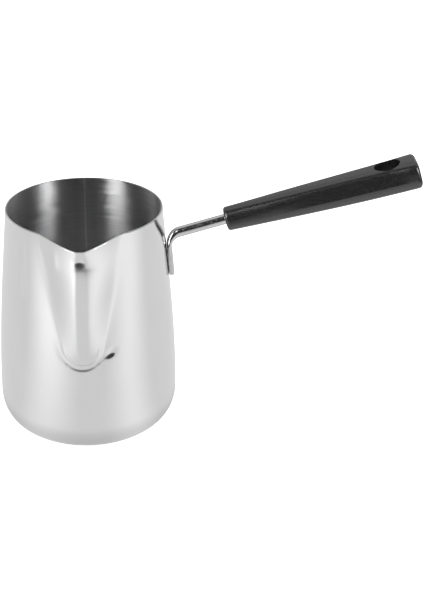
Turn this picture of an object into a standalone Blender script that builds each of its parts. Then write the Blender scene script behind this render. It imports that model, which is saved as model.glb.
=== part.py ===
"""Candle melting pot: a drawn steel pot with a pouring lip, on a rod handle with a moulded grip.

Metres, +Z up. The origin is the centre of the base's underside. The lip points along -Y and the
handle along +X.
"""

import math

import bmesh
import bpy
from mathutils import Vector

MM = 0.001

# Pot
POT_HEIGHT = 133.0 * MM
RIM_RADIUS = 43.5 * MM
BELLY_RADIUS = 51.0 * MM
BELLY_HEIGHT = 21.6 * MM
BASE_RADIUS = 26.9 * MM
WALL = 0.8 * MM
CORNER_POWER = 2.36
RIM_TAPER = 1.27

# Lip and flute
LIP_REACH = 53.0 * MM
LIP_DIP = 4.3 * MM
LIP_CURL = 1.6 * MM
LIP_CURL_HEIGHT = 14.0 * MM
FLUTE_BOTTOM = 59.6 * MM
FLUTE_END_RADIUS = 11.8 * MM
FLUTE_TAPER = 0.19

# Rod
ROD_DIAMETER = 6.0 * MM
ROD_RISE = math.radians(17.0)
ROD_AXIS_POINT = Vector((60.0, 0.0, 120.0)) * MM
LEG_THICKNESS = 2.7 * MM
LEG_WIDTH = 9.6 * MM
LEG_BOTTOM = 92.8 * MM
LEG_TOP = 108.5 * MM
BEND_RADIUS = 8.0 * MM
ROD_END_IN_GRIP = 42.0 * MM

# Grip, in its own frame: X from its front end to its tail, Z up from the rod's axis.
# Each pair is the value at the front end and the value at the tail.
GRIP_START = 19.2 * MM
GRIP_LENGTH = 110.0 * MM
GRIP_TOP = (6.5 * MM, 5.65 * MM)
GRIP_SEAM = (-1.6 * MM, -4.4 * MM)
GRIP_UNDERSIDE = (-6.7 * MM, -10.9 * MM)
GRIP_HALF_WIDTH = (6.6 * MM, 10.9 * MM)
GRIP_UPPER_POWER = (2.2, 4.0)
GRIP_LOWER_POWER = (2.1, 3.0)
GRIP_FRONT_ROUND = 1.6 * MM
GRIP_TAIL_ROUND = 2.6 * MM
SCOOP_DEPTH = 0.9 * MM
SCOOP_TOP = 0.85
HANG_HOLE_RADIUS = 6.7 * MM
HANG_HOLE_ROUND = 0.9 * MM
HANG_HOLE_AT = 93.8 * MM
GRIP_BORE_DEPTH = 45.0 * MM

# Insert and welds
INSERT_START = 16.0 * MM
INSERT_LENGTH = 22.0 * MM
INSERT_RADIUS = 4.7 * MM
INSERT_GROOVE = 0.6 * MM
WELD_RADIUS = 2.2 * MM
WELD_HEIGHT = 0.9 * MM
WELD_HEIGHTS = {"spot_weld_lower": 97.0 * MM, "spot_weld_upper": 104.5 * MM}

GAP = 0.3 * MM


def clear_scene():
    for obj in list(bpy.data.objects):
        bpy.data.objects.remove(obj, do_unlink=True)


def material(name, color, metallic, roughness):
    made = bpy.data.materials.new(name)
    made.use_nodes = True
    shader = made.node_tree.nodes["Principled BSDF"]
    shader.inputs["Base Color"].default_value = (*color, 1.0)
    shader.inputs["Metallic"].default_value = metallic
    shader.inputs["Roughness"].default_value = roughness
    return made


def object_from(name, bm, made_of=None, smooth_angle=40.0):
    bmesh.ops.recalc_face_normals(bm, faces=bm.faces)
    mesh = bpy.data.meshes.new(name)
    bm.to_mesh(mesh)
    bm.free()
    mesh.shade_smooth()
    mesh.set_sharp_from_angle(angle=math.radians(smooth_angle))
    obj = bpy.data.objects.new(name, mesh)
    bpy.context.scene.collection.objects.link(obj)
    if made_of is not None:
        mesh.materials.append(made_of)
    return obj


def skin_rings(bm, rings):
    """Joins each ring of points to the next with quads."""
    made = [[bm.verts.new(point) for point in ring] for ring in rings]
    for low, high in zip(made, made[1:]):
        for i in range(len(low)):
            j = (i + 1) % len(low)
            bm.faces.new((low[i], low[j], high[j], high[i]))
    return made


def closed_loft(rings):
    """A solid through the rings of points, with a flat face across each end."""
    bm = bmesh.new()
    made = skin_rings(bm, rings)
    bm.faces.new(made[0])
    bm.faces.new(made[-1])
    return bm


def turned(profile, steps):
    """A solid turned about Z from (radius, height) points, closed at both ends."""
    rings = []
    for radius, height in profile:
        turns = [2 * math.pi * i / steps for i in range(steps)]
        rings.append([(radius * math.cos(a), radius * math.sin(a), height) for a in turns])
    return closed_loft(rings)


def smoothstep(low, high, value):
    t = min(max((value - low) / (high - low), 0.0), 1.0)
    return t * t * (3 - 2 * t)


# ---------------------------------------------------------------- pot


def wall_radius(height):
    """Outer radius of the round wall, from the belly up to the rim."""
    t = (height - BELLY_HEIGHT) / (POT_HEIGHT - BELLY_HEIGHT)
    narrowing = (3 - RIM_TAPER) * t**2 + (RIM_TAPER - 2) * t**3
    return BELLY_RADIUS - (BELLY_RADIUS - RIM_RADIUS) * narrowing


def corner_point(turn):
    """Radius and height on the bottom corner, for a turn from 0 at the base to 90 degrees."""
    power = 2 / CORNER_POWER
    radius = BASE_RADIUS + (BELLY_RADIUS - BASE_RADIUS) * math.sin(turn) ** power
    return radius, BELLY_HEIGHT * (1 - math.cos(turn) ** power)


def nose_radius(height):
    """Radius of the flute's centre line, straight up to where the lip curls out."""
    start = wall_radius(FLUTE_BOTTOM)
    rise = (height - FLUTE_BOTTOM) / (POT_HEIGHT - LIP_DIP - FLUTE_BOTTOM)
    curl_start = POT_HEIGHT - LIP_DIP - LIP_CURL_HEIGHT
    curl = max(height - curl_start, 0.0) / LIP_CURL_HEIGHT
    return start + (LIP_REACH - LIP_CURL - start) * rise + LIP_CURL * curl**2


def flute_width(height):
    """Half width of the flute along the wall: a round end, then straight tapering sides."""
    centre = FLUTE_BOTTOM + FLUTE_END_RADIUS
    if height >= centre:
        return FLUTE_END_RADIUS + FLUTE_TAPER * (height - centre)
    return FLUTE_END_RADIUS


def flute_share(angle, height):
    """0 on the wall to 1 on the flute's centre line. The angle is measured from the lip."""
    centre = FLUTE_BOTTOM + FLUTE_END_RADIUS
    along = min(height - centre, 0.0)
    across = abs(angle) * wall_radius(height)
    t = min(math.hypot(across, along) / flute_width(height), 1.0)
    sharpness = smoothstep(FLUTE_BOTTOM, POT_HEIGHT, height)
    rounding = 1.2 - 1.08 * sharpness
    slope = (math.hypot(t, rounding) - rounding) / (math.hypot(1.0, rounding) - rounding)
    return (1 - slope) ** (1.0 + 0.4 * sharpness)


def outer_radius(angle, height):
    flute_height = max(nose_radius(max(height, FLUTE_BOTTOM)) - wall_radius(height), 0.0)
    return wall_radius(height) + flute_height * flute_share(angle, height)


def lip_angles():
    """Angles from the lip round the pot, close together across the flute."""
    fine_half = math.radians(33.0)
    fine = [fine_half * (i / 13) for i in range(-13, 14)]
    coarse_steps = 40
    span = 2 * math.pi - 2 * fine_half
    coarse = [fine_half + span * i / coarse_steps for i in range(1, coarse_steps)]
    return fine + coarse


def pot_body(steel):
    angles = lip_angles()
    signed = [math.remainder(angle, 2 * math.pi) for angle in angles]
    rings = [[(BASE_RADIUS, angle, 0.0) for angle in signed]]
    corner_steps = 6
    for i in range(1, corner_steps):
        radius, height = corner_point(math.pi / 2 * i / corner_steps)
        rings.append([(radius, angle, height) for angle in signed])
    wall_rows = 17
    for row in range(wall_rows + 1):
        ring = []
        for angle in signed:
            top = POT_HEIGHT - LIP_DIP * flute_share(angle, POT_HEIGHT)
            height = BELLY_HEIGHT + (top - BELLY_HEIGHT) * row / wall_rows
            ring.append((outer_radius(angle, height), angle, height))
        rings.append(ring)
    bm = bmesh.new()
    points = [[(r * math.sin(a), -r * math.cos(a), z) for r, a, z in ring] for ring in rings]
    made = skin_rings(bm, points)
    centre = bm.verts.new((0.0, 0.0, 0.0))
    for i, vert in enumerate(made[0]):
        bm.faces.new((centre, made[0][(i + 1) % len(made[0])], vert))
    obj = object_from("pot_body", bm, steel)
    shell = obj.modifiers.new("Sheet thickness", "SOLIDIFY")
    shell.thickness = WALL
    shell.offset = -1.0
    shell.use_even_offset = True
    return obj


# ---------------------------------------------------------------- rod and welds


def leg_line():
    """A point on the leg's centre line at its bottom, and the direction up it."""
    low = Vector((wall_radius(LEG_BOTTOM), 0.0, LEG_BOTTOM))
    high = Vector((wall_radius(LEG_TOP), 0.0, LEG_TOP))
    up = (high - low).normalized()
    outward = Vector((up.z, 0.0, -up.x))
    return low + outward * (GAP + LEG_THICKNESS / 2), up


def rod_path():
    """Centre-line stations from the leg's foot to the rod's end: (distance, point, direction)."""
    foot, up = leg_line()
    rod = Vector((math.cos(ROD_RISE), 0.0, math.sin(ROD_RISE)))
    away = ROD_AXIS_POINT - foot
    crossing = (away.x * rod.z - away.z * rod.x) / (up.x * rod.z - up.z * rod.x)
    corner = foot + up * crossing
    turn = up.angle(rod)
    tangent = BEND_RADIUS * math.tan(turn / 2)
    bend_start = corner - up * tangent
    inward = Vector((up.z, 0.0, -up.x))
    bend_centre = bend_start + inward * BEND_RADIUS
    leg_length = (bend_start - foot).length
    stations = [(leg_length * i / 6, foot + up * (leg_length * i / 6), up) for i in range(6)]
    for i in range(11):
        swung = turn * i / 10
        out = up * math.sin(swung) - inward * math.cos(swung)
        along = up * math.cos(swung) + inward * math.sin(swung)
        distance = leg_length + BEND_RADIUS * swung
        stations.append((distance, bend_centre + out * BEND_RADIUS, along))
    bend_end = corner + rod * tangent
    rod_end = ROD_AXIS_POINT + rod * (GRIP_START + ROD_END_IN_GRIP)
    straight = (rod_end - bend_end).length
    for i in range(1, 5):
        travel = straight * i / 4
        stations.append((leg_length + BEND_RADIUS * turn + travel, bend_end + rod * travel, rod))
    return stations, leg_length, leg_length + BEND_RADIUS * turn


def rod_section(point, along, thickness, width, squareness, steps=20):
    """One closed ring across the rod: thickness in the bend's plane, width along Y."""
    outward = Vector((along.z, 0.0, -along.x))
    ring = []
    for i in range(steps):
        turn = 2 * math.pi * i / steps
        c, s = math.cos(turn), math.sin(turn)
        across = math.copysign(abs(c) ** (2 / squareness), c) * thickness / 2
        sideways = math.copysign(abs(s) ** (2 / squareness), s) * width / 2
        ring.append(point + outward * across + Vector((0.0, sideways, 0.0)))
    return ring


def handle_rod(steel):
    stations, flat_end, round_start = rod_path()
    rings = []
    for distance, point, along in stations:
        roundness = smoothstep(flat_end - 2.0 * MM, round_start, distance)
        thickness = LEG_THICKNESS + (ROD_DIAMETER - LEG_THICKNESS) * roundness
        width = LEG_WIDTH + (ROD_DIAMETER - LEG_WIDTH) * roundness
        rings.append(rod_section(point, along, thickness, width, 3.2 - 1.2 * roundness))
    obj = object_from("handle_rod", closed_loft(rings), steel)
    for name, height in WELD_HEIGHTS.items():
        cutter = turned([(WELD_RADIUS + GAP, -GAP), (WELD_RADIUS + GAP, WELD_HEIGHT)], 20)
        pocket = object_from("pocket_for_" + name, cutter)
        place_on_leg(pocket, height)
        cut(obj, pocket)
    return obj


def place_on_leg(obj, height):
    """Puts the object's base on the leg's inner face, with its Z axis into the leg."""
    foot, up = leg_line()
    outward = Vector((up.z, 0.0, -up.x))
    face = foot + up * ((height - foot.z) / up.z) - outward * (LEG_THICKNESS / 2)
    obj.location = face
    obj.rotation_euler = outward.to_track_quat("Z", "Y").to_euler()


def cut(obj, cutter):
    cutter.hide_render = True
    cutter.display_type = "WIRE"
    boolean = obj.modifiers.new("Cut " + cutter.name, "BOOLEAN")
    boolean.operation = "DIFFERENCE"
    boolean.object = cutter


def spot_weld(name, height, weld_metal):
    """A weld nugget with a slightly domed top, in its pocket in the leg."""
    edge = WELD_RADIUS * 0.82
    top = WELD_HEIGHT - GAP
    profile = [(edge, 0.0), (WELD_RADIUS, 0.25 * top), (WELD_RADIUS, 0.7 * top), (edge, top)]
    obj = object_from(name, turned(profile, 20), weld_metal)
    place_on_leg(obj, height)
    return obj


# ---------------------------------------------------------------- grip


def between(ends, share, power):
    """Value at a share of the grip's length. The power says where along it most of the change is."""
    front, tail = ends
    return front + (tail - front) * share**power


def grip_top(share):
    return between(GRIP_TOP, share, 1.0)


def grip_underside(share):
    """The underside drops away early and levels out towards the tail."""
    tail_share = 1.0 - share
    return between((GRIP_UNDERSIDE[1], GRIP_UNDERSIDE[0]), tail_share, 1.7)


def grip_section(along, steps=36):
    """One closed ring across the grip: two half superellipses that meet at the moulding seam."""
    share = along / GRIP_LENGTH
    top, seam, underside = grip_top(share), between(GRIP_SEAM, share, 0.6), grip_underside(share)
    half_width = between(GRIP_HALF_WIDTH, share, 1.2)
    upper_power = between(GRIP_UPPER_POWER, smoothstep(0.0, 0.6, share), 1.0)
    lower_power = between(GRIP_LOWER_POWER, smoothstep(0.0, 0.8, share), 1.0)
    scoop = SCOOP_DEPTH * smoothstep(0.25, 0.6, share) * (1 - smoothstep(0.78, 0.97, share))
    inset = end_inset(along)
    middle = (top + underside) / 2
    shrink_up = 1 - inset / ((top - underside) / 2)
    shrink_out = 1 - inset / half_width
    ring = []
    for i in range(steps):
        turn = 2 * math.pi * i / steps
        c, s = math.cos(turn), math.sin(turn)
        upper = s >= 0
        power = upper_power if upper else lower_power
        side = math.copysign(abs(c) ** (2 / power), c)
        rise = math.copysign(abs(s) ** (2 / power), s)
        z = seam + rise * ((top - seam) if upper else (seam - underside))
        hollow = scoop * math.sin(math.pi * min(rise / SCOOP_TOP, 1.0)) if upper else 0.0
        y = side * half_width - math.copysign(hollow, side)
        ring.append((along, y * shrink_out, middle + (z - middle) * shrink_up))
    return ring


def end_inset(along):
    """How far the rounded ends pull the section in."""
    inset = 0.0
    for edge, distance in ((GRIP_FRONT_ROUND, along), (GRIP_TAIL_ROUND, GRIP_LENGTH - along)):
        if distance < edge:
            inset += edge - math.sqrt(edge**2 - (edge - distance) ** 2)
    return inset


def grip_stations():
    front = [GRIP_FRONT_ROUND * (1 - math.cos(math.pi / 2 * i / 3)) for i in range(4)]
    tail = [GRIP_LENGTH - GRIP_TAIL_ROUND * (1 - math.cos(math.pi / 2 * i / 4)) for i in range(5)]
    first, last = front[-1], tail[-1]
    middle = [first + (last - first) * i / 14 for i in range(1, 14)]
    return front + middle + tail[::-1]


def handle_frame():
    """An empty at the middle of the grip's front end, X along the rod's axis."""
    empty = bpy.data.objects.new("handle_frame", None)
    bpy.context.scene.collection.objects.link(empty)
    rod = Vector((math.cos(ROD_RISE), 0.0, math.sin(ROD_RISE)))
    empty.location = ROD_AXIS_POINT + rod * GRIP_START
    empty.rotation_euler = (0.0, -ROD_RISE, 0.0)
    return empty


def lay_along_handle(obj, frame, along):
    """Turns an object made about Z to lie on the handle's axis."""
    obj.parent = frame
    obj.location = (along, 0.0, 0.0)
    obj.rotation_euler = (0.0, math.pi / 2, 0.0)


def handle_grip(frame, phenolic):
    rings = [grip_section(along) for along in grip_stations()]
    obj = object_from("handle_grip", closed_loft(rings), phenolic)
    obj.parent = frame
    bore_radius = ROD_DIAMETER / 2 + GAP
    pocket_radius = INSERT_RADIUS + GAP
    groove_radius = pocket_radius - INSERT_GROOVE
    first, last = INSERT_START - GAP, INSERT_START + INSERT_LENGTH + GAP
    third = (last - first) / 3
    profile = [
        (bore_radius, -1.0 * MM),
        (bore_radius, first),
        (pocket_radius, first + 0.01 * MM),
        (pocket_radius, first + third),
        (groove_radius, first + third + INSERT_GROOVE),
        (groove_radius, last - third - INSERT_GROOVE),
        (pocket_radius, last - third),
        (pocket_radius, last),
        (bore_radius, last + 0.01 * MM),
        (bore_radius, GRIP_BORE_DEPTH),
    ]
    bore = object_from("bore_cutter", turned(profile, 24))
    lay_along_handle(bore, frame, 0.0)
    cut(obj, bore)
    hole = object_from("hanging_hole_cutter", hanging_hole())
    hole.parent = frame
    hole.location = (HANG_HOLE_AT, 0.0, 0.0)
    cut(obj, hole)
    return obj


def hanging_hole():
    """The hole's cutter, about Z, with both mouths rounded."""
    share = HANG_HOLE_AT / GRIP_LENGTH
    low, high = grip_underside(share), grip_top(share)
    profile = [(HANG_HOLE_RADIUS + 2 * HANG_HOLE_ROUND, low - HANG_HOLE_ROUND)]
    turns = [math.pi / 2 * i / 3 for i in range(4)]
    for turn in turns:
        flare = HANG_HOLE_ROUND * (1 - math.sin(turn))
        profile.append((HANG_HOLE_RADIUS + flare, low + HANG_HOLE_ROUND * (1 - math.cos(turn))))
    for turn in reversed(turns):
        flare = HANG_HOLE_ROUND * (1 - math.sin(turn))
        profile.append((HANG_HOLE_RADIUS + flare, high - HANG_HOLE_ROUND * (1 - math.cos(turn))))
    profile.append((HANG_HOLE_RADIUS + 2 * HANG_HOLE_ROUND, high + HANG_HOLE_ROUND))
    return turned(profile, 32)


def grip_insert(frame, brass):
    """A bush with a groove round its middle, which keys it into the moulding."""
    bore = ROD_DIAMETER / 2 + GAP
    third = INSERT_LENGTH / 3
    waist = INSERT_RADIUS - INSERT_GROOVE
    profile = [
        (bore, 0.0),
        (INSERT_RADIUS, 0.0),
        (INSERT_RADIUS, third),
        (waist, third + INSERT_GROOVE),
        (waist, INSERT_LENGTH - third - INSERT_GROOVE),
        (INSERT_RADIUS, INSERT_LENGTH - third),
        (INSERT_RADIUS, INSERT_LENGTH),
        (bore, INSERT_LENGTH),
    ]
    steps = 24
    bm = bmesh.new()
    rings = []
    for radius, height in profile:
        turns = [2 * math.pi * i / steps for i in range(steps)]
        rings.append([(radius * math.cos(a), radius * math.sin(a), height) for a in turns])
    made = skin_rings(bm, rings)
    for i in range(steps):
        j = (i + 1) % steps
        bm.faces.new((made[-1][i], made[-1][j], made[0][j], made[0][i]))
    obj = object_from("grip_insert", bm, brass)
    lay_along_handle(obj, frame, INSERT_START)
    return obj


def main():
    clear_scene()
    pot_steel = material("pot_steel", (0.74, 0.74, 0.75), 1.0, 0.18)
    rod_steel = material("rod_steel", (0.70, 0.70, 0.71), 1.0, 0.12)
    weld_metal = material("weld_metal", (0.50, 0.49, 0.48), 1.0, 0.45)
    phenolic = material("phenolic", (0.025, 0.025, 0.026), 0.0, 0.42)
    brass = material("brass", (0.72, 0.52, 0.22), 1.0, 0.30)
    pot_body(pot_steel)
    handle_rod(rod_steel)
    for name, height in WELD_HEIGHTS.items():
        spot_weld(name, height, weld_metal)
    frame = handle_frame()
    handle_grip(frame, phenolic)
    grip_insert(frame, brass)


main()
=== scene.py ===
"""The finished look of the candle melting pot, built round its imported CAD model.

Sizes are in millimetres, except where a name or comment says otherwise, and meshes are scaled to
metres when they are made. As in the CAD model, +Z is up, the lip points along -Y and the handle
along +X. An angle round the pot is measured from the lip, towards the handle.
"""

import math

import bpy
import numpy as np
from mathutils import Matrix, Vector


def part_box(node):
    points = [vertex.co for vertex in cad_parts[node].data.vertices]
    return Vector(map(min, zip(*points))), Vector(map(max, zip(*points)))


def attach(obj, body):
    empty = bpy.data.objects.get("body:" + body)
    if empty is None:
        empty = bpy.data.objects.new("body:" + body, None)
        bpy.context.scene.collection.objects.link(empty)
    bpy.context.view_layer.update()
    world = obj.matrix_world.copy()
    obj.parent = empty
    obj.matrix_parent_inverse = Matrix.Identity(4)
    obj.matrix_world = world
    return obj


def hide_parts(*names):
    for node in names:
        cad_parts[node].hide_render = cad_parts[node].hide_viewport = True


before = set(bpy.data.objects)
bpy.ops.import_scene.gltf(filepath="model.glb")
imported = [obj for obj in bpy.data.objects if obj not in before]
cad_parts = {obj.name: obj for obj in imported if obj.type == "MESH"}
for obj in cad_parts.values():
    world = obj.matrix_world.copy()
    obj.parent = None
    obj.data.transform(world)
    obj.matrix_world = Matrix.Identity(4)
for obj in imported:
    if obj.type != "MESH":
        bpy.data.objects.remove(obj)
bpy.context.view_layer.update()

MM = 0.001


def box_mm(node):
    low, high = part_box(node)
    return low / MM, high / MM


# Pot, from its CAD box where the box gives the size
pot_low, pot_high = box_mm("pot_body")
POT_HEIGHT = pot_high.z
BELLY_RADIUS = pot_high.y
LIP_REACH = -pot_low.y
RIM_RADIUS = 43.5
BELLY_HEIGHT = 21.6
BASE_RADIUS = 26.9
WALL = 0.8
RIM_EDGE_ROUND = 0.08
CORNER_POWER = 2.36
RIM_TAPER = 1.27

# Lip and flute. A pair is the value on the left of the lip and the value on its right.
LIP_DIP = 4.3
LIP_CURL = 1.5
LIP_CURL_HEIGHT = 10.0
LIP_FLAT = (0.8, 1.5)
LIP_ROUNDING = (1.2, 1.0)
LIP_POWER = (1.25, 1.33)
LIP_SHAPE_HEIGHT = 34.0
FLUTE_BOTTOM = 59.6
FLUTE_END_RADIUS = 9.0
FLUTE_TAPER = 0.205
FLUTE_MIDDLE = (-0.3, -0.1)
FLUTE_FLAT = (1.6, 2.5)
FLUTE_FLAT_START = 12.0
FLUTE_END_ROUNDING = 1.6
FLUTE_RIM_ROUNDING = (1.5, 2.2)
FLUTE_END_POWER = 0.97
FLUTE_RIM_POWER = (1.36, 1.15)
FLUTE_FILLET = 1.8
FLUTE_STEP = 0.33
FLUTE_STEP_WIDTH = 1.4
NOSE_BOW = 3.5

# Marks that the flute's press tool leaves in the sheet
VALLEY_DEPTH = 0.52
VALLEY_OFFSET = 1.5
VALLEY_SPREAD = 1.7
CREST_HEIGHT = 0.42
CREST_OFFSET = -1.1
CREST_SPREAD = 0.7
NOSE_DENT_DEPTH = 0.5
NOSE_DENT_BELOW_LIP = 5.0
NOSE_DENT_SPREAD = (1.7, 1.8)
SIDE_DENT_DEPTH = 0.8
SIDE_DENT_AT = (15.6, 6.6)
SIDE_DENT_SPREAD = (2.3, 1.5)
SIDE_DENT_SLANT = math.radians(42.0)

# The valley and the crest fade out between these heights over the flute's end
END_MARKS_FADE = (3.0, 16.0)

# Faint upright creases left of the lip: distance round the wall, bottom, top, depth and half width
CREASES = ((-35.0, 92.0, 131.0, 0.45, 1.5), (-13.0, 116.0, 131.0, -0.3, 1.6))
CREASE_END = 2.5
CREASE_TOP_FADE = 10.0

# Mesh columns round the pot, in degrees: their spacing across the lip, across the flute and on the
# plain wall, and the angles from the lip between which one spacing becomes the next
COLUMN_SPACING = (0.32, 0.6, 2.2)
LIP_COLUMNS_END = (6.0, 16.0)
FLUTE_COLUMNS_END = (34.0, 60.0)

# Mesh rows up the wall: their spacing, how much closer they are at the flute's marks, where the
# flute's end is above its bottom, how far its close rows spread, and where those at the rim begin
ROW_SPACING = 1.4
ROWS_CLOSER_BY = 0.95
END_ROWS_ABOVE = 2.0
END_ROWS_SPREAD = 6.0
RIM_ROWS_BELOW = (24.0, 14.0)

# Rod
leg_low, rod_high = box_mm("handle_rod")
LEG_BOTTOM = leg_low.z
LEG_WIDTH = rod_high.y - leg_low.y
LEG_TOP = 108.5
LEG_THICKNESS = 2.92
LEG_GAP = 0.08
LEG_EDGE = 0.35
ROD_DIAMETER = 6.0
ROD_RISE = math.radians(17.0)
BEND_RADIUS = 8.0
ROD_END_IN_GRIP = 42.0

# Squareness of the rod's section: the power of its superellipse, which is 2 where it is round.
# The section begins to round and to swell below the bend's start, and is round a little above it.
LEG_SQUARENESS = 5.0
ROUND_SQUARENESS = 2.0
LEG_ROUNDS_BELOW_BEND = 9.0
LEG_SWELLS_BELOW_BEND = 0.5
ROUND_ABOVE_BEND = 1.0

# Marks over the welds: the floor's share of the radius, and how far from the leg's middle its
# outer face is taken to begin
WELD_DIMPLE_RADIUS = 2.6
WELD_DIMPLE_DEPTH = 0.18
WELD_DIMPLE_FLOOR = 0.55
OUTER_FACE_FROM = 0.5

# Grip, in its own frame: X from its front end to its tail, Z up from the rod's axis. Each pair is
# the value at the front end and the value at the tail, except for the scoop's, which are limits.
# Where the grip is fully square, and where its scoops begin and end, are shares of its length.
# The rounding of the hole's mouths starts at a turn in radians, so that it crosses the surface.
GRIP_LENGTH = 110.0
GRIP_TOP = (6.5, 5.2)
GRIP_SEAM = (-1.6, -4.1)
GRIP_UNDERSIDE = (-6.7, -10.9)
GRIP_HALF_WIDTH = (6.6, 11.6)
GRIP_UPPER_POWER = (2.7, 4.4)
GRIP_LOWER_POWER = (2.1, 3.0)
UPPER_SQUARE_FROM = 0.6
LOWER_SQUARE_FROM = 0.8
SEAM_EASE = 0.6
HALF_WIDTH_EASE = 1.2
UNDERSIDE_EASE = 1.7
GRIP_FRONT_ROUND = 1.6
GRIP_TAIL_ROUND = 2.6
GRIP_FLARE = 0.8
SCOOP_FLARE = 0.7
SCOOP_DEPTH = 0.9
SCOOP_DEEPEST = 0.65
SCOOP_TOP = (0.3, 1.0)
SCOOP_BEGINS = (0.25, 0.6)
SCOOP_ENDS = (0.84, 0.97)
HANG_HOLE_RADIUS = 7.2
HANG_HOLE_ROUND = 0.5
HANG_HOLE_ROUND_START = 0.25
HANG_HOLE_AT = 93.8
BORE_GAP = 0.3
BORE_LEAD_IN = 0.4
BORE_CUT_PAST = 0.8
INSERT_START = 16.0
INSERT_LENGTH = 22.0

# A painted highlight: a faint lighter streak up the inside, opposite the lip, in a wider soft glow, in
# radians from the back
HIGHLIGHT_STREAK_AT = -0.055
HIGHLIGHT_STREAK_HALF_WIDTH = 0.022
HIGHLIGHT_GLOW_HALF_WIDTH = 0.132

# Camera
VIEW_TARGET = Vector((71.7, 0.0, 74.9))
VIEW_DISTANCE = 756.4
VIEW_AZIMUTH = math.radians(-2.3)
VIEW_ELEVATION = 0.4666
VIEW_ROLL = math.radians(1.04)
FOCAL_LENGTH = 78.91


# ---------------------------------------------------------------- shape helpers


def smoothstep(low, high, value):
    t = np.clip((value - low) / (high - low), 0.0, 1.0)
    return t * t * (3 - 2 * t)


def hump(distance, spread):
    """A smooth hump, 1 where the distance is 0."""
    return np.exp(-((distance / spread) ** 2) / 2)


def graded(low, high, spacing):
    """Values from low to high whose gaps follow spacing(value)."""
    fine = np.linspace(low, high, 4001)
    steps = np.concatenate([[0.0], np.cumsum(np.diff(fine) / spacing(fine[1:]))])
    return np.interp(np.linspace(0.0, steps[-1], round(steps[-1]) + 1), steps, fine)


def mesh_object(name, points, faces, materials=(), sharp_angle=math.radians(45.0)):
    """A smooth-shaded object from points in millimetres."""
    mesh = bpy.data.meshes.new(name)
    mesh.from_pydata((np.asarray(points) * MM).tolist(), [], faces)
    for made_of in materials:
        mesh.materials.append(made_of)
    mesh.validate()
    mesh.shade_smooth()
    mesh.set_sharp_from_angle(angle=sharp_angle)
    obj = bpy.data.objects.new(name, mesh)
    bpy.context.scene.collection.objects.link(obj)
    return obj


def skin(rings, first_pole=None, last_pole=None):
    """Points and faces through equal closed rings, with a fan of triangles to each pole."""
    count = len(rings[0])
    points = np.concatenate(rings)
    near = np.arange(count)
    far = np.roll(near, -1)
    faces = []
    for row in range(len(rings) - 1):
        low, high = row * count, (row + 1) * count
        faces += np.column_stack([low + near, low + far, high + far, high + near]).tolist()
    if first_pole is not None:
        faces += [(len(points), b, a) for a, b in zip(near.tolist(), far.tolist())]
        points = np.vstack([points, first_pole])
    if last_pole is not None:
        top = (len(rings) - 1) * count
        faces += [(top + a, top + b, len(points)) for a, b in zip(near.tolist(), far.tolist())]
        points = np.vstack([points, last_pole])
    return points, faces


# ---------------------------------------------------------------- pot


def wall_radius(height):
    t = (height - BELLY_HEIGHT) / (POT_HEIGHT - BELLY_HEIGHT)
    narrowing = (3 - RIM_TAPER) * t**2 + (RIM_TAPER - 2) * t**3
    return BELLY_RADIUS - (BELLY_RADIUS - RIM_RADIUS) * narrowing


def corner_point(turn):
    """Radius and height on the bottom corner, for a turn from 0 at the base to 90 degrees."""
    power = 2 / CORNER_POWER
    radius = BASE_RADIUS + (BELLY_RADIUS - BASE_RADIUS) * np.sin(turn) ** power
    return radius, BELLY_HEIGHT * (1 - np.cos(turn) ** power)


def by_side(pair, angle):
    """The left value of a pair left of the lip, the right value right of it."""
    left, right = pair
    return np.where(angle < 0, left, right)


def nose_radius(height):
    """Radius of the flute's centre line, which bows out a little and curls out at the lip."""
    start = wall_radius(FLUTE_BOTTOM)
    lip_height = POT_HEIGHT - LIP_DIP
    rise = (height - FLUTE_BOTTOM) / (lip_height - FLUTE_BOTTOM)
    curl = np.maximum(height - lip_height + LIP_CURL_HEIGHT, 0.0) / LIP_CURL_HEIGHT
    straight = start + (LIP_REACH - LIP_CURL - start) * rise
    return straight + NOSE_BOW * 4 * rise * (1 - rise) + LIP_CURL * curl**2


def flute_across(angle, height):
    """Distance along the wall from the flute's middle line, which leans a little to one side."""
    low, high = FLUTE_MIDDLE
    share = (height - FLUTE_BOTTOM) / (POT_HEIGHT - FLUTE_BOTTOM)
    return angle * wall_radius(height) - (low + (high - low) * share)


def flute_place(across, height):
    """How far a point is from the flute's middle line, and the flute's half width there."""
    up = height - FLUTE_BOTTOM
    off_middle = np.hypot(across, np.minimum(up - FLUTE_END_RADIUS, 0.0))
    return off_middle, FLUTE_END_RADIUS + FLUTE_TAPER * np.maximum(up, 0.0)


def flute_share(angle, height):
    """0 on the wall to 1 on the flute's nearly flat nose, with a fillet where the two meet."""
    across = flute_across(angle, height)
    off_middle, half_width = flute_place(across, height)
    up_share = smoothstep(FLUTE_BOTTOM, POT_HEIGHT, height)
    lip_share = smoothstep(POT_HEIGHT - LIP_SHAPE_HEIGHT, POT_HEIGHT, height)

    def graded_up(low, upper_pair, lip_pair):
        upper = low + (by_side(upper_pair, across) - low) * up_share
        return upper + (by_side(lip_pair, across) - upper) * lip_share

    flat = graded_up(by_side(FLUTE_FLAT, across), FLUTE_FLAT, LIP_FLAT)
    flat *= smoothstep(0.0, FLUTE_FLAT_START, height - FLUTE_BOTTOM)
    off_flat = flute_place(np.maximum(np.abs(across) - flat, 0.0), height)[0]
    flank = half_width - (off_middle - off_flat)
    rounding = graded_up(FLUTE_END_ROUNDING, FLUTE_RIM_ROUNDING, LIP_ROUNDING) / flank
    slope = (np.hypot(off_flat / flank, rounding) - rounding) / (np.hypot(1.0, rounding) - rounding)
    left = 1 - slope
    power = graded_up(FLUTE_END_POWER, FLUTE_RIM_POWER, LIP_POWER)
    height_share = np.sign(left) * np.abs(left) ** power
    return (height_share + np.hypot(height_share, FLUTE_FILLET / flank)) / 2


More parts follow.
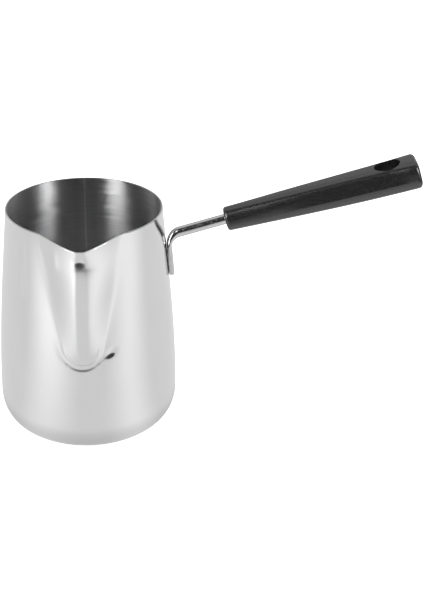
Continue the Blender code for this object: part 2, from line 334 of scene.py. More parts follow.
def flute_step(angle, height):
    """The small step along the flute's outline, which fades towards the rim."""
    off_middle, half_width = flute_place(flute_across(angle, height), height)
    outside = off_middle - half_width
    inside = 1 - smoothstep(-FLUTE_STEP_WIDTH, FLUTE_STEP_WIDTH, outside)
    return FLUTE_STEP * inside * (1 - smoothstep(FLUTE_BOTTOM, POT_HEIGHT, height))


def press_marks(angle, height):
    """Small in and out moves of the sheet: round the flute's end, under the lip and beside them."""
    off_middle, half_width = flute_place(flute_across(angle, height), height)
    outside = off_middle - half_width
    near_end = 1 - smoothstep(*END_MARKS_FADE, height - FLUTE_BOTTOM)
    marks = -VALLEY_DEPTH * hump(outside - VALLEY_OFFSET, VALLEY_SPREAD) * near_end
    marks += CREST_HEIGHT * hump(outside - CREST_OFFSET, CREST_SPREAD) * near_end
    across = angle * wall_radius(height)
    lip_height = POT_HEIGHT - LIP_DIP
    marks -= (
        NOSE_DENT_DEPTH
        * hump(across, NOSE_DENT_SPREAD[0])
        * hump(height - (lip_height - NOSE_DENT_BELOW_LIP), NOSE_DENT_SPREAD[1])
    )
    aside = across - SIDE_DENT_AT[0]
    up = height - FLUTE_BOTTOM - SIDE_DENT_AT[1]
    c, s = math.cos(SIDE_DENT_SLANT), math.sin(SIDE_DENT_SLANT)
    marks -= (
        SIDE_DENT_DEPTH
        * hump(aside * c + up * s, SIDE_DENT_SPREAD[0])
        * hump(up * c - aside * s, SIDE_DENT_SPREAD[1])
    )
    for place_round, bottom, top, depth, half_width in CREASES:
        long = smoothstep(bottom - CREASE_END, bottom + CREASE_END, height)
        long *= 1 - smoothstep(top - CREASE_TOP_FADE, top, height)
        marks -= depth * hump(across - place_round, half_width) * long
    return marks


def outer_radius(angle, height):
    flute_height = np.maximum(nose_radius(np.maximum(height, FLUTE_BOTTOM)) - wall_radius(height), 0.0)
    flute = flute_height * flute_share(angle, height) + flute_step(angle, height)
    return wall_radius(height) + flute + press_marks(angle, height)


def ring(radius, angle, height):
    """Points on the pot for arrays of radius, angle and height."""
    shape = np.broadcast(radius, angle, height).shape
    radius, angle, height = (np.broadcast_to(part, shape) for part in (radius, angle, height))
    return np.column_stack([radius * np.sin(angle), -radius * np.cos(angle), height])


def column_angles():
    """Angles round the pot, close together across the flute."""

    def spacing(angle):
        off_lip = np.abs(angle)
        fine, middle, coarse = (math.radians(step) for step in COLUMN_SPACING)
        lip_end, flute_begins = (math.radians(end) for end in LIP_COLUMNS_END)
        flute_end, wall_begins = (math.radians(end) for end in FLUTE_COLUMNS_END)
        close = fine + (middle - fine) * smoothstep(lip_end, flute_begins, off_lip)
        return close + (coarse - close) * smoothstep(flute_end, wall_begins, off_lip)

    return graded(-math.pi, math.pi, spacing)[:-1]


def wall_shares():
    """Steps up the wall from 0 at the belly to 1 at the rim, close together at the flute's marks."""

    def spacing(height):
        flute_end = hump(height - FLUTE_BOTTOM - END_ROWS_ABOVE, END_ROWS_SPREAD)
        begin, closest = RIM_ROWS_BELOW
        rim = smoothstep(POT_HEIGHT - begin, POT_HEIGHT - closest, height)
        return ROW_SPACING - ROWS_CLOSER_BY * np.maximum(flute_end, rim)

    heights = graded(BELLY_HEIGHT, POT_HEIGHT, spacing)
    return (heights - BELLY_HEIGHT) / (POT_HEIGHT - BELLY_HEIGHT)


def outer_rings(angles):
    rings = [ring(BASE_RADIUS * share, angles, 0.0) for share in (0.3, 0.6, 0.9)]
    for turn in np.linspace(0.0, math.pi / 2, 25)[:-1]:
        radius, height = corner_point(turn)
        rings.append(ring(radius, angles, height))
    rim_height = POT_HEIGHT - LIP_DIP * flute_share(angles, POT_HEIGHT)
    for share in wall_shares():
        height = BELLY_HEIGHT + (rim_height - RIM_EDGE_ROUND - BELLY_HEIGHT) * share
        rings.append(ring(outer_radius(angles, height), angles, height))
    return np.array(rings)


def surface_normals(grid):
    """Outward normals at the points of a grid of closed rings."""
    round_pot = np.roll(grid, -1, axis=1) - np.roll(grid, 1, axis=1)
    up_pot = np.gradient(grid, axis=0)
    normals = np.cross(round_pot, up_pot)
    return normals / np.linalg.norm(normals, axis=2, keepdims=True)


def rim_rings(outer_edge, inner_edge, up):
    """The cut edge of the sheet: a small rounded corner outside and a crisp one inside."""
    out = outer_edge - inner_edge
    out /= np.linalg.norm(out, axis=1, keepdims=True)
    centre = outer_edge - out * RIM_EDGE_ROUND
    turns = np.linspace(0.0, math.pi / 2, 5)[1:]
    corner = [centre + RIM_EDGE_ROUND * (out * math.cos(a) + up * math.sin(a)) for a in turns]
    return corner + [inner_edge + up * RIM_EDGE_ROUND]


def pot(outside_steel, inside_steel):
    angles = column_angles()
    outer = outer_rings(angles)
    normals = surface_normals(outer)
    inner = outer - normals * WALL
    up = outer[-1] - outer[-2]
    up /= np.linalg.norm(up, axis=1, keepdims=True)
    rim = rim_rings(outer[-1], inner[-1], up)
    rings = list(outer) + rim + list(inner[::-2])
    points, faces = skin(rings, (0.0, 0.0, 0.0), (0.0, 0.0, WALL))
    obj = mesh_object("melting_pot_body", points, faces, (outside_steel, inside_steel))
    columns = len(angles)
    first_inside = (len(outer) + len(rim) - 1) * columns
    count = len(faces)
    inside = np.zeros(count, np.int32)
    inside[first_inside : count - 2 * columns] = 1
    inside[count - columns :] = 1
    obj.data.polygons.foreach_set("material_index", inside)
    return obj


# ---------------------------------------------------------------- rod


def unit(vector):
    return vector / np.linalg.norm(vector)


def rod_direction():
    return np.array([math.cos(ROD_RISE), 0.0, math.sin(ROD_RISE)])


def grip_origin():
    """The middle of the grip's front end, from the brass insert that lies on the rod's axis."""
    low, high = box_mm("grip_insert")
    return np.array((low + high) / 2) - rod_direction() * (INSERT_START + INSERT_LENGTH / 2)


def leg_line():
    """The leg's foot on its centre line, the direction up it and the direction away from the pot."""
    low = np.array([wall_radius(LEG_BOTTOM), 0.0, LEG_BOTTOM])
    high = np.array([wall_radius(LEG_TOP), 0.0, LEG_TOP])
    up = unit(high - low)
    outward = np.array([up[2], 0.0, -up[0]])
    return low + outward * (LEG_GAP + LEG_THICKNESS / 2), up, outward


def rod_stations():
    """(distance, point, direction) along the rod's centre line, and where the bend starts and ends."""
    foot, up, outward = leg_line()
    rod = rod_direction()
    away = grip_origin() - foot
    crossing = (away[0] * rod[2] - away[2] * rod[0]) / (up[0] * rod[2] - up[2] * rod[0])
    corner = foot + up * crossing
    turn = math.acos(up @ rod)
    tangent = BEND_RADIUS * math.tan(turn / 2)
    bend_start, bend_end = corner - up * tangent, corner + rod * tangent
    bend_centre = bend_start + outward * BEND_RADIUS
    leg_length = np.linalg.norm(bend_start - foot)
    straight = np.linalg.norm(grip_origin() + rod * ROD_END_IN_GRIP - bend_end)
    stations = [(d, foot + up * d, up) for d in np.linspace(0.0, leg_length, 40)[:-1]]
    for swung in np.linspace(0.0, turn, 40):
        from_centre = up * math.sin(swung) - outward * math.cos(swung)
        along = up * math.cos(swung) + outward * math.sin(swung)
        point = bend_centre + from_centre * BEND_RADIUS
        stations.append((leg_length + BEND_RADIUS * swung, point, along))
    bend_stop = leg_length + BEND_RADIUS * turn
    for d in np.linspace(0.0, straight, 40)[1:]:
        stations.append((bend_stop + d, bend_end + rod * d, rod))
    return stations, leg_length, bend_stop


def rounded_ends(distance, total, edge):
    """How far an end's rounded edge pulls the section in."""
    short = np.clip(edge - np.minimum(distance, total - distance), 0.0, edge)
    return edge - np.sqrt(edge**2 - short**2)


def rod_section(point, along, thickness, width, squareness, steps=64):
    outward = np.array([along[2], 0.0, -along[0]])
    turns = np.linspace(0.0, 2 * math.pi, steps, endpoint=False)
    c, s = np.cos(turns), np.sin(turns)
    across = np.sign(c) * np.abs(c) ** (2 / squareness) * thickness / 2
    sideways = np.sign(s) * np.abs(s) ** (2 / squareness) * width / 2
    return point + np.outer(across, outward) + np.outer(sideways, [0.0, 1.0, 0.0])


def press_weld_dimples(points, outward):
    """Sinks a shallow round mark over each spot weld into the leg's outer face."""
    marked = points.copy()
    foot = leg_line()[0]
    off_middle = (points - foot) @ outward
    for weld in ("spot_weld_lower", "spot_weld_upper"):
        low, high = box_mm(weld)
        away = points - np.array((low + high) / 2)
        away -= np.outer(away @ outward, outward)
        from_weld = np.linalg.norm(away, axis=1) / WELD_DIMPLE_RADIUS
        depth = 1 - smoothstep(WELD_DIMPLE_FLOOR, 1.0, from_weld)
        marked -= np.outer(depth * (off_middle > OUTER_FACE_FROM) * WELD_DIMPLE_DEPTH, outward)
    return marked


def rod(steel):
    stations, flat_end, round_start = rod_stations()
    total = stations[-1][0]
    edge = [LEG_EDGE * (1 - math.cos(a)) for a in np.linspace(0.0, math.pi / 2, 5)[:-1]]
    foot, up, outward = leg_line()
    stations = [(d, foot + up * d, up) for d in edge] + [s for s in stations if s[0] > LEG_EDGE]
    rings = []
    for distance, point, along in stations:
        roundness = smoothstep(flat_end - LEG_SWELLS_BELOW_BEND, round_start, distance)
        pulled_in = 2 * rounded_ends(distance, total, LEG_EDGE)
        thickness = LEG_THICKNESS + (ROD_DIAMETER - LEG_THICKNESS) * roundness - pulled_in
        width = LEG_WIDTH + (ROD_DIAMETER - LEG_WIDTH) * roundness - pulled_in
        rounded = smoothstep(flat_end - LEG_ROUNDS_BELOW_BEND, flat_end + ROUND_ABOVE_BEND, distance)
        squareness = LEG_SQUARENESS + (ROUND_SQUARENESS - LEG_SQUARENESS) * rounded
        rings.append(rod_section(point, along, thickness, width, squareness))
    points, faces = skin(rings, stations[0][1], stations[-1][1])
    return mesh_object("bent_handle_rod", press_weld_dimples(points, outward), faces, (steel,))


# ---------------------------------------------------------------- grip


def between(ends, share, power=1.0):
    """Value at a share of the grip's length. The power says where along it most of the change is."""
    front, tail = ends
    return front + (tail - front) * share**power


def grip_top(share):
    return between(GRIP_TOP, share)


def grip_underside(share):
    return between((GRIP_UNDERSIDE[1], GRIP_UNDERSIDE[0]), 1.0 - share, UNDERSIDE_EASE)


def grip_half_width(share):
    return between(GRIP_HALF_WIDTH, share, HALF_WIDTH_EASE)


def grip_inset(along):
    """How far the rounded ends pull the section in."""
    inset = 0.0
    for edge, distance in ((GRIP_FRONT_ROUND, along), (GRIP_TAIL_ROUND, GRIP_LENGTH - along)):
        if distance < edge:
            inset += edge - math.sqrt(edge**2 - (edge - distance) ** 2)
    return inset


def half_section(share, turns):
    """(sideways, up) points round the upper or the lower half of the grip's section."""
    top, underside = grip_top(share), grip_underside(share)
    seam, half_width = between(GRIP_SEAM, share, SEAM_EASE), grip_half_width(share)
    upper = turns[-1] <= math.pi
    if upper:
        power = between(GRIP_UPPER_POWER, smoothstep(0.0, UPPER_SQUARE_FROM, share))
        height = top - seam
    else:
        power = between(GRIP_LOWER_POWER, smoothstep(0.0, LOWER_SQUARE_FROM, share))
        height = seam - underside
    c, s = np.cos(turns), np.sin(turns)
    side = np.sign(c) * np.abs(c) ** (2 / power)
    rise = np.sign(s) * np.abs(s) ** (2 / power)
    if upper:
        scooped = smoothstep(*SCOOP_BEGINS, share) * (1 - smoothstep(*SCOOP_ENDS, share))
        lean_in = (GRIP_FLARE + SCOOP_FLARE * scooped) * rise
        hollow = SCOOP_DEPTH * scooped * rise / SCOOP_DEEPEST * (1 - smoothstep(*SCOOP_TOP, rise))
        sideways = side * (half_width - lean_in) - np.sign(side) * hollow
    else:
        sideways = side * half_width
    return np.column_stack([sideways, seam + rise * height])


def evenly(points, count):
    """Count points at even distances along a curve, from its first point and without its last."""
    lengths = np.concatenate([[0.0], np.cumsum(np.linalg.norm(np.diff(points, axis=0), axis=1))])
    at = np.linspace(0.0, lengths[-1], count, endpoint=False)
    return np.column_stack([np.interp(at, lengths, part) for part in points.T])


def grip_section(along, upper_steps=84, lower_steps=60):
    """One ring across the grip: two half superellipses that meet at the moulding seam."""
    share = along / GRIP_LENGTH
    upper = half_section(share, np.linspace(0.0, math.pi, 1201))
    lower = half_section(share, np.linspace(math.pi, 2 * math.pi, 1201))
    y, z = np.vstack([evenly(upper, upper_steps), evenly(lower, lower_steps)]).T
    inset, middle = grip_inset(along), (grip_top(share) + grip_underside(share)) / 2
    shrink_up = 1 - inset / (grip_top(share) - middle)
    shrink_out = 1 - inset / grip_half_width(share)
    z = middle + (z - middle) * shrink_up
    return np.column_stack([np.full(len(y), along), y * shrink_out, z])


def grip_stations():
    front = GRIP_FRONT_ROUND * (1 - np.cos(np.linspace(0.0, math.pi / 2, 9)))
    tail = GRIP_LENGTH - GRIP_TAIL_ROUND * (1 - np.cos(np.linspace(0.0, math.pi / 2, 11)))
    middle = np.linspace(front[-1], tail[-1], 130)[1:-1]
    return np.concatenate([front, middle, tail[::-1]])


def turned(profile, steps):
    """Points and faces of a solid turned about Z from (radius, height) points."""
    turns = (np.arange(steps) + 0.5) * 2 * math.pi / steps
    rings = [
        np.column_stack([radius * np.cos(turns), radius * np.sin(turns), np.full(steps, height)])
        for radius, height in profile
    ]
    return skin(rings, (0.0, 0.0, profile[0][1]), (0.0, 0.0, profile[-1][1]))


def hanging_hole():
    """The hole's cutter, about Z, with both mouths rounded to meet the grip's surface."""
    share = HANG_HOLE_AT / GRIP_LENGTH
    low, high = grip_underside(share), grip_top(share)
    turns = np.linspace(HANG_HOLE_ROUND_START, math.pi / 2, 7)
    flare = HANG_HOLE_ROUND * (1 - np.sin(turns))
    dip = HANG_HOLE_ROUND * (1 - np.cos(turns))
    outer = HANG_HOLE_RADIUS + 2.0 * HANG_HOLE_ROUND
    profile = [(outer, low - HANG_HOLE_ROUND)]
    profile += list(zip(HANG_HOLE_RADIUS + flare, low + dip))
    profile += list(zip(HANG_HOLE_RADIUS + flare[::-1], high - dip[::-1]))
    profile += [(outer, high + HANG_HOLE_ROUND)]
    points, faces = turned(profile, 96)
    return points + (HANG_HOLE_AT, 0.0, 0.0), faces


def front_bore():
    """The rod's bore, about X, with a small lead-in at its mouth and a wider pocket for the insert."""
    radius = ROD_DIAMETER / 2 + BORE_GAP
    insert_low, insert_high = box_mm("grip_insert")
    pocket_radius = (insert_high.y - insert_low.y) / 2 + BORE_GAP
    pocket_start, pocket_end = INSERT_START - BORE_GAP, INSERT_START + INSERT_LENGTH + BORE_GAP
    past = radius + BORE_LEAD_IN + BORE_CUT_PAST
    profile = [(past, -BORE_CUT_PAST), (radius + BORE_LEAD_IN, 0.0), (radius, BORE_LEAD_IN)]
    profile += [(radius, pocket_start), (pocket_radius, pocket_start), (pocket_radius, pocket_end)]
    profile += [(radius, pocket_end), (radius, ROD_END_IN_GRIP + BORE_GAP)]
    points, faces = turned(profile, 64)
    return points[:, [2, 0, 1]], faces


def cut_away(obj, cutters):
    """Cuts solids out of the object and keeps the result as its mesh."""
    bpy.context.view_layer.update()
    for index, (points, faces) in enumerate(cutters):
        cutter = mesh_object(f"{obj.name}_cutter_{index}", points, faces)
        cutter.matrix_world = obj.matrix_world
        boolean = obj.modifiers.new("Cut", "BOOLEAN")
        boolean.object = cutter
    bpy.context.view_layer.update()
    graph = bpy.context.evaluated_depsgraph_get()
    result = bpy.data.meshes.new_from_object(obj.evaluated_get(graph))
    for modifier in list(obj.modifiers):
        cutter = modifier.object
        obj.modifiers.remove(modifier)
        bpy.data.objects.remove(cutter)
    obj.data = result


def grip(phenolic):
    rings = [grip_section(along) for along in grip_stations()]
    points, faces = skin(rings, (0.0, 0.0, 0.0), (GRIP_LENGTH, 0.0, rings[-1][:, 2].mean()))
    obj = mesh_object("moulded_grip", points, faces, (phenolic,))
    obj.location = grip_origin() * MM
    obj.rotation_euler = (0.0, -ROD_RISE, 0.0)
    cut_away(obj, [hanging_hole(), front_bore()])
    obj.data.shade_smooth()
    obj.data.set_sharp_from_angle(angle=math.radians(35.0))
    return obj


# ---------------------------------------------------------------- materials


def add_node(tree, kind, inputs=None, **settings):
    """Adds a node. Each input is a value or another node's output."""
    node = tree.nodes.new(kind)
    for key, value in settings.items():
        setattr(node, key, value)
    for key, value in (inputs or {}).items():
        if isinstance(value, bpy.types.NodeSocket):
            tree.links.new(value, node.inputs[key])
        else:
            node.inputs[key].default_value = value
    return node


def calculate(tree, operation, first, second=0.0, third=0.0):
    node = add_node(tree, "ShaderNodeMath", {0: first, 1: second, 2: third}, operation=operation)
    return node.outputs[0]


def position(tree):
    """The point being shaded, in metres, in the CAD model's frame."""
    return add_node(tree, "ShaderNodeNewGeometry").outputs["Position"]


def noise(tree, vector, scale, detail=2.0, roughness=0.5):
    """Noise from 0 to 1 on a stretched copy of the position. The scale is features per metre."""
    stretched = add_node(tree, "ShaderNodeVectorMath", {0: vector, 1: scale}, operation="MULTIPLY")
    inputs = {"Vector": stretched.outputs[0], "Scale": 1.0, "Detail": detail, "Roughness": roughness}
    return add_node(tree, "ShaderNodeTexNoise", inputs).outputs["Fac"]


def spread(tree, value, low, high, from_low=0.25, from_high=0.75):
    """Maps a value to the range from low to high. Most noise lies between 0.25 and 0.75."""
    inputs = {
        "Value": value,
        "From Min": from_low,
        "From Max": from_high,
        "To Min": low,
        "To Max": high,
    }
    return add_node(tree, "ShaderNodeMapRange", inputs).outputs["Result"]


def mix_colors(tree, share, first, second):
    inputs = {"Factor": share, "A": (*first, 1.0), "B": (*second, 1.0)}
    node = tree.nodes.new("ShaderNodeMix")
    node.data_type = "RGBA"
    for key, value in inputs.items():
        socket = next(s for s in node.inputs if s.name == key and s.enabled)
        if isinstance(value, bpy.types.NodeSocket):
            tree.links.new(value, socket)
        else:
            socket.default_value = value
    return next(s for s in node.outputs if s.enabled)


def bump(tree, height, distance, strength=1.0):
    inputs = {"Height": height, "Distance": distance, "Strength": strength}
    return add_node(tree, "ShaderNodeBump", inputs).outputs["Normal"]


def finish(name, inputs_from):
    """A material whose Principled shader takes the inputs that inputs_from(tree) works out."""
    made = bpy.data.materials.new(name)
    made.use_nodes = True
    tree = made.node_tree
    shader = tree.nodes["Principled BSDF"]
    for key, value in inputs_from(tree).items():
        if isinstance(value, bpy.types.NodeSocket):
            tree.links.new(value, shader.inputs[key])
        else:
            shader.inputs[key].default_value = value
    return made


def normalized(tree, vector):
    return add_node(tree, "ShaderNodeVectorMath", {0: vector}, operation="NORMALIZE").outputs[0]


def shaken_sideways(tree, value, amount):
    """The surface normal, turned round the pot's axis by a noise value."""
    swing = spread(tree, value, -amount, amount)
    push = add_node(tree, "ShaderNodeVectorMath", {0: round_the_pot(tree)}, operation="SCALE")
    tree.links.new(swing, push.inputs["Scale"])
    normal = add_node(tree, "ShaderNodeNewGeometry").outputs["Normal"]
    moved = add_node(tree, "ShaderNodeVectorMath", {0: normal, 1: push.outputs[0]}, operation="ADD")
    return normalized(tree, moved.outputs[0])


def round_the_pot(tree):
    """The direction round the pot's axis, along which its inside was brushed."""
    inputs = {0: (0.0, 0.0, 1.0), 1: position(tree)}
    across = add_node(tree, "ShaderNodeVectorMath", inputs, operation="CROSS_PRODUCT")
    return normalized(tree, across.outputs[0])


def polished_steel(tree):
    """The pot's outside: buffed bright, with faint lines round it and faint cloudy patches."""
    where = position(tree)
    lines = noise(tree, where, (60.0, 60.0, 2600.0), 3.0)
    clouds = noise(tree, where, (55.0, 55.0, 30.0), 2.0)
    line_gloss = spread(tree, lines, 0.10, 0.13)
    cloud_gloss = spread(tree, clouds, 0.0, 0.02)
    return {
        "Base Color": mix_colors(tree, clouds, (0.80, 0.80, 0.805), (0.85, 0.85, 0.85)),
        "Metallic": 1.0,
        "Roughness": calculate(tree, "ADD", line_gloss, cloud_gloss),
        "Normal": bump(tree, lines, 0.0000015),
    }


def brushed_steel(tree):
    """The pot's inside: brushed round and round, so that highlights stand as tall streaks.

    A painted highlight runs up it, opposite the lip: a faint lighter line in a wider soft glow.
    """
    where = position(tree)
    fine = noise(tree, where, (45.0, 45.0, 3500.0), 3.0)
    coarse = noise(tree, where, (25.0, 25.0, 1500.0), 2.0, 0.6)
    parts = add_node(tree, "ShaderNodeSeparateXYZ", {0: where})
    from_back = calculate(tree, "ARCTAN2", parts.outputs["X"], parts.outputs["Y"])
    # Painted highlight: the base colour is lighter in a thin streak and a wider glow up the wall
    # opposite the lip. The brushing noise adds random tone.
    line = soft_band(tree, from_back, HIGHLIGHT_STREAK_AT, HIGHLIGHT_STREAK_HALF_WIDTH, 0.6)
    glow = soft_band(tree, from_back, HIGHLIGHT_STREAK_AT, HIGHLIGHT_GLOW_HALF_WIDTH, 0.35)
    brushing = spread(tree, coarse, 0.0, 0.3)
    brushing_tone_and_highlight = calculate(tree, "ADD", brushing, calculate(tree, "ADD", line, glow))
    return {
        "Base Color": mix_colors(tree, brushing_tone_and_highlight, (0.53, 0.53, 0.535), (0.95, 0.95, 0.95)),
        "Metallic": 1.0,
        "Roughness": spread(tree, fine, 0.29, 0.37),
        "Anisotropic": 1.0,
        "Anisotropic Rotation": 0.25,
        "Tangent": round_the_pot(tree),
        "Normal": shaken_sideways(tree, coarse, 0.08),
    }


def bright_rod_steel(tree):
    """The rod: drawn bright wire, with fine draw marks and a slight ripple."""
    where = position(tree)
    marks = noise(tree, where, (350.0, 350.0, 350.0), 3.0)
    ripple = noise(tree, where, (110.0, 110.0, 110.0), 1.0)
    return {
        "Base Color": mix_colors(tree, marks, (0.58, 0.58, 0.585), (0.72, 0.72, 0.72)),
        "Metallic": 1.0,
        "Roughness": spread(tree, marks, 0.10, 0.17),
        "Normal": bump(tree, ripple, 0.00002),
    }


def weld_steel(tree):
    """Weld metal: dull, with a fine grain and straw to blue heat tint."""
    where = position(tree)
    grain = noise(tree, where, (1500.0, 1500.0, 1500.0), 3.0)
    tint = noise(tree, where, (400.0, 400.0, 400.0), 1.0)
    return {
        "Base Color": mix_colors(tree, tint, (0.42, 0.40, 0.42), (0.62, 0.55, 0.45)),
        "Metallic": 1.0,
        "Roughness": spread(tree, grain, 0.35, 0.6),
        "Normal": bump(tree, grain, 0.00003),
    }


def turned_brass(tree):
    """The insert: turned brass, with tool marks round it and slight dulling."""
    where = position(tree)
    marks = noise(tree, where, (2500.0, 120.0, 120.0), 2.0)
    dulling = noise(tree, where, (180.0, 180.0, 180.0), 2.0)
    return {
        "Base Color": mix_colors(tree, dulling, (0.62, 0.43, 0.17), (0.83, 0.62, 0.28)),
        "Metallic": 1.0,
        "Roughness": spread(tree, marks, 0.22, 0.38),
        "Normal": bump(tree, marks, 0.00001),
    }


def black_phenolic(tree):
    """The grip: moulded black phenolic, with a fine pebbled skin and pale filler flecks."""
    where = position(tree)
    pebbles = noise(tree, where, (1100.0, 1100.0, 1100.0), 3.0, 0.7)
    patches = noise(tree, where, (90.0, 90.0, 90.0), 2.0)
    specks = noise(tree, where, (1500.0, 1500.0, 1500.0), 1.0)
    flecks = spread(tree, specks, 0.0, 1.0, 0.60, 0.75)
    pebble_gloss = spread(tree, pebbles, 0.21, 0.26)
    patch_gloss = spread(tree, patches, -0.01, 0.02)
    return {
        "Base Color": mix_colors(tree, flecks, (0.011, 0.011, 0.0115), (0.022, 0.022, 0.0225)),
        "Roughness": calculate(tree, "ADD", pebble_gloss, patch_gloss),
        "Specular IOR Level": 1.0,
        "Normal": bump(tree, pebbles, 0.000025),
    }


# ---------------------------------------------------------------- studio


FLOOR_SIZE = 6000.0
FLOOR_DROP = 0.05
FLOOR_PAPER = (0.93, 0.93, 0.93, 1.0)
FLOOR_GLOW = 0.7
WORLD_STRENGTH = 1.2

# How metal sees the floor: its grey in front of the pot and at its sides, and the angles from the
# lip between which one grey becomes the other
FLOOR_GREY = 0.708
FLOOR_SIDE_GREY = 0.766
FLOOR_SIDES_FROM = (60.0, 140.0)

# The floor's two bright bands: degrees from the lip at the pot's axis, degrees more for each metre
# away from it, half width in degrees, brightness at the axis and more brightness for each metre.
LEFT_BAND = (-39.4, -5.0, 38.7, 0.084, 1.135)
RIGHT_BAND = (42.3, 45.4, 32.8, 0.183, 0.255)

# A third band lies straight behind the pot, equally bright at any distance
BACK_BAND_HALF_WIDTH = 30.0
BACK_BAND = 0.25

# In front of the pot the light ends between two distances, and takes this share of the grey away
FLOOR_LIGHT_END = (500.0, 800.0)
FLOOR_UNLIT_SHARE = 0.88
FLOOR_UNLIT_SIDES = (90.0, 130.0)

# Close to the pot, metal sees the floor as this share of its grey, up to the full grey
FLOOR_SHADE = 0.79
FLOOR_SHADE_BETWEEN = (46.0, 80.0)

# How metal sees the room: its grey, and the grey of the dark part behind the camera, with the
# angles from the lip and the elevations between which the dark part ends
ROOM_GREY = 0.6
DARK_GREY = 0.05
DARK_SIDES = (40.0, 120.0)
DARK_TOP = (72.0, 90.0)

# The tall softboxes: middle and half width in degrees from the lip, and brightness. Then the
# elevations between which both begin and end.
SOFTBOXES = ((59.0, 9.0, 12.0), (-46.0, 12.0, 12.0))
SOFTBOX_EDGE = 3.0
SOFTBOX_BOTTOM = (2.0, 8.0)
SOFTBOX_TOP = (38.0, 50.0)

# A soft light overhead, behind the pot: where it begins in degrees from the lip, then the middle
# and half width of its elevation, and its brightness
OVERHEAD_FROM = (100.0, 140.0)
OVERHEAD = (58.0, 20.0, 0.5)

# The square key light, in metres and watts
KEY_SIDE = 1.6
KEY_POWER = 4.0
KEY_PLACE = (-0.1, 0.1, 1.2)
KEY_TARGET = Vector((0.07, 0.0, 0.08))


def angle_from_lip(tree, x, y):
    """The direction round the pot of a point or a ray, in degrees from the lip."""
    turn = calculate(tree, "ARCTAN2", x, calculate(tree, "MULTIPLY", y, -1.0))
    return calculate(tree, "MULTIPLY", turn, 180.0 / math.pi)


def soft_band(tree, value, middle, half_width, height):
    """A smooth band, as high as height at its middle and 0 from half_width on."""
    off = calculate(tree, "ABSOLUTE", calculate(tree, "SUBTRACT", value, middle))
    inputs = {"Value": off, "From Min": half_width, "From Max": 0.0, "To Min": 0.0, "To Max": height}
    node = add_node(tree, "ShaderNodeMapRange", inputs, interpolation_type="SMOOTHSTEP")
    return node.outputs["Result"]


def smooth_ramp(tree, value, low, high, low_result=0.0, high_result=1.0):
    """Changes smoothly from one result to the other between low and high."""
    inputs = {
        "Value": value,
        "From Min": low,
        "From Max": high,
        "To Min": low_result,
        "To Max": high_result,
    }
    node = add_node(tree, "ShaderNodeMapRange", inputs, interpolation_type="SMOOTHSTEP")
    return node.outputs["Result"]


def softbox(tree, value, middle, half_width, height):
    """A level band with soft edges."""
    off = calculate(tree, "ABSOLUTE", calculate(tree, "SUBTRACT", value, middle))
    return smooth_ramp(tree, off, half_width + SOFTBOX_EDGE, half_width - SOFTBOX_EDGE, 0.0, height)


def floor_grey(tree):
    """The grey that metal sees on the floor: a sweep with soft bright bands, darker at the pot."""
    where = add_node(tree, "ShaderNodeSeparateXYZ", {0: position(tree)})
    x, y = where.outputs["X"], where.outputs["Y"]
    angle = angle_from_lip(tree, x, y)
    off_front = calculate(tree, "ABSOLUTE", angle)
    x_squared, y_squared = calculate(tree, "MULTIPLY", x, x), calculate(tree, "MULTIPLY", y, y)
    distance = calculate(tree, "SQRT", calculate(tree, "ADD", x_squared, y_squared))
    low, high = FLOOR_SIDES_FROM
    grey = spread(tree, off_front, FLOOR_GREY, FLOOR_SIDE_GREY, low, high)
    for at_pot, drift, half_width, height, gain in (LEFT_BAND, RIGHT_BAND):
        middle = calculate(tree, "MULTIPLY_ADD", distance, drift, at_pot)
        strength = calculate(tree, "MULTIPLY_ADD", distance, gain, height)
        band = soft_band(tree, calculate(tree, "SUBTRACT", angle, middle), 0.0, half_width, 1.0)
        grey = calculate(tree, "MULTIPLY_ADD", band, strength, grey)
    behind = soft_band(tree, off_front, 180.0, BACK_BAND_HALF_WIDTH, BACK_BAND)
    grey = calculate(tree, "ADD", grey, behind)
    start, stop = FLOOR_LIGHT_END
    far = smooth_ramp(tree, distance, start * MM, stop * MM)
    in_front = smooth_ramp(tree, off_front, *FLOOR_UNLIT_SIDES, FLOOR_UNLIT_SHARE, 0.0)
    lit = calculate(tree, "SUBTRACT", 1.0, calculate(tree, "MULTIPLY", far, in_front))
    start, stop = FLOOR_SHADE_BETWEEN
    shade = smooth_ramp(tree, distance, start * MM, stop * MM, FLOOR_SHADE, 1.0)
    return calculate(tree, "MULTIPLY", calculate(tree, "MULTIPLY", grey, lit), shade)


def studio_floor():
    """A plain pale floor. Metal sees it as the grey sweep."""
    half = FLOOR_SIZE / 2
    corners = [(-half, -half), (half, -half), (half, half), (-half, half)]
    points = [(x, y, -FLOOR_DROP) for x, y in corners]
    made = bpy.data.materials.new("pale_floor")
    made.use_nodes = True
    made.cycles.emission_sampling = "NONE"
    tree = made.node_tree
    tree.nodes.clear()
    seen_in_metal = add_node(tree, "ShaderNodeEmission", {"Color": floor_grey(tree)})
    paper = add_node(tree, "ShaderNodeBsdfDiffuse", {"Color": FLOOR_PAPER})
    glow = add_node(tree, "ShaderNodeEmission", {"Strength": FLOOR_GLOW})
    lit_paper = add_node(tree, "ShaderNodeAddShader", {0: paper.outputs[0], 1: glow.outputs[0]})
    glossy = add_node(tree, "ShaderNodeLightPath").outputs["Is Glossy Ray"]
    inputs = {0: glossy, 1: lit_paper.outputs[0], 2: seen_in_metal.outputs[0]}
    shader = add_node(tree, "ShaderNodeMixShader", inputs)
    add_node(tree, "ShaderNodeOutputMaterial", {"Surface": shader.outputs[0]})
    floor = mesh_object("studio_floor", points, [(0, 1, 2, 3)], (made,))


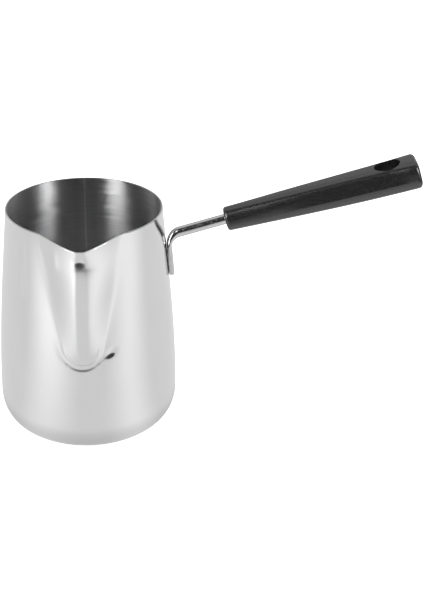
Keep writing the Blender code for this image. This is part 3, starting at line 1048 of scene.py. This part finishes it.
def room_grey(tree):
    """The grey that metal sees round it: dark behind the camera, with two tall softboxes."""
    direction = add_node(tree, "ShaderNodeTexCoord").outputs["Generated"]
    ray = add_node(tree, "ShaderNodeSeparateXYZ", {0: direction})
    x, y, z = (ray.outputs[axis] for axis in "XYZ")
    angle = angle_from_lip(tree, x, y)
    off_front = calculate(tree, "ABSOLUTE", angle)
    elevation = calculate(tree, "MULTIPLY", calculate(tree, "ARCSINE", z), 180.0 / math.pi)
    dark_across = smooth_ramp(tree, off_front, *DARK_SIDES, 1.0, 0.0)
    dark_up = smooth_ramp(tree, elevation, *DARK_TOP, 1.0, 0.0)
    dark = calculate(tree, "MULTIPLY", dark_across, dark_up)
    room = smooth_ramp(tree, dark, 0.0, 1.0, ROOM_GREY, DARK_GREY)
    above = smooth_ramp(tree, elevation, *SOFTBOX_BOTTOM)
    below = smooth_ramp(tree, elevation, *SOFTBOX_TOP, 1.0, 0.0)
    left, right = (softbox(tree, angle, *box) for box in SOFTBOXES)
    tall = calculate(tree, "MULTIPLY", above, below)
    boxes = calculate(tree, "MULTIPLY", calculate(tree, "ADD", left, right), tall)
    behind = smooth_ramp(tree, off_front, *OVERHEAD_FROM)
    overhead = calculate(tree, "MULTIPLY", behind, soft_band(tree, elevation, *OVERHEAD))
    return calculate(tree, "ADD", calculate(tree, "ADD", room, boxes), overhead)


def studio_world():
    """White all round. Metal sees it as the grey room."""
    world = bpy.data.worlds.new("studio")
    world.use_nodes = True
    world.cycles.sampling_method = "NONE"
    tree = world.node_tree
    tree.nodes.clear()
    glossy = add_node(tree, "ShaderNodeLightPath").outputs["Is Glossy Ray"]
    strength = add_node(tree, "ShaderNodeMix", data_type="FLOAT")
    tree.links.new(glossy, strength.inputs[0])
    strength.inputs[2].default_value = WORLD_STRENGTH
    tree.links.new(room_grey(tree), strength.inputs[3])
    background = add_node(tree, "ShaderNodeBackground", {"Strength": strength.outputs[0]})
    add_node(tree, "ShaderNodeOutputWorld", {"Surface": background.outputs[0]})
    bpy.context.scene.world = world


def soft_key_light():
    """A broad softbox above and to the left, for the grip and the floor's soft contact shadow."""
    data = bpy.data.lights.new("soft_key", "AREA")
    data.shape = "RECTANGLE"
    data.size, data.size_y = KEY_SIDE, KEY_SIDE
    data.energy = KEY_POWER
    light = bpy.data.objects.new("soft_key", data)
    light.location = KEY_PLACE
    light.rotation_euler = (light.location - KEY_TARGET).to_track_quat("Z", "Y").to_euler()
    light.visible_camera = False
    light.visible_glossy = False
    bpy.context.scene.collection.objects.link(light)


def camera():
    data = bpy.data.cameras.new("camera")
    data.sensor_width = 36.0
    data.lens = FOCAL_LENGTH
    data.clip_end = 20.0
    made = bpy.data.objects.new("camera", data)
    level = Vector((0.0, math.cos(VIEW_ELEVATION), -math.sin(VIEW_ELEVATION)))
    forward = Matrix.Rotation(VIEW_AZIMUTH, 3, "Z") @ level
    turned_to = forward.to_track_quat("-Z", "Y").to_matrix() @ Matrix.Rotation(VIEW_ROLL, 3, "Z")
    place = (VIEW_TARGET - forward * VIEW_DISTANCE) * MM
    made.matrix_world = Matrix.Translation(place) @ turned_to.to_4x4()
    bpy.context.scene.collection.objects.link(made)
    bpy.context.scene.camera = made


# ---------------------------------------------------------------- the object


def place(obj, node, slot):
    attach(obj, "root")
    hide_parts(node)


def refinish(node, made_of):
    """Gives a CAD node that stays in view its finished material."""
    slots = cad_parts[node].material_slots
    for material_slot in slots:
        material_slot.link = "OBJECT"
        material_slot.material = made_of


outside = finish("polished_steel", polished_steel)
inside = finish("brushed_steel", brushed_steel)
place(pot(outside, inside), "pot_body", "pot_steel")
place(rod(finish("bright_rod_steel", bright_rod_steel)), "handle_rod", "rod_steel")
place(grip(finish("black_phenolic", black_phenolic)), "handle_grip", "phenolic")
weld = finish("weld_steel", weld_steel)
refinish("spot_weld_lower", weld)
refinish("spot_weld_upper", weld)
refinish("grip_insert", finish("turned_brass", turned_brass))

studio_floor()
studio_world()
soft_key_light()
camera()
bpy.context.scene.view_settings.view_transform = "Standard"
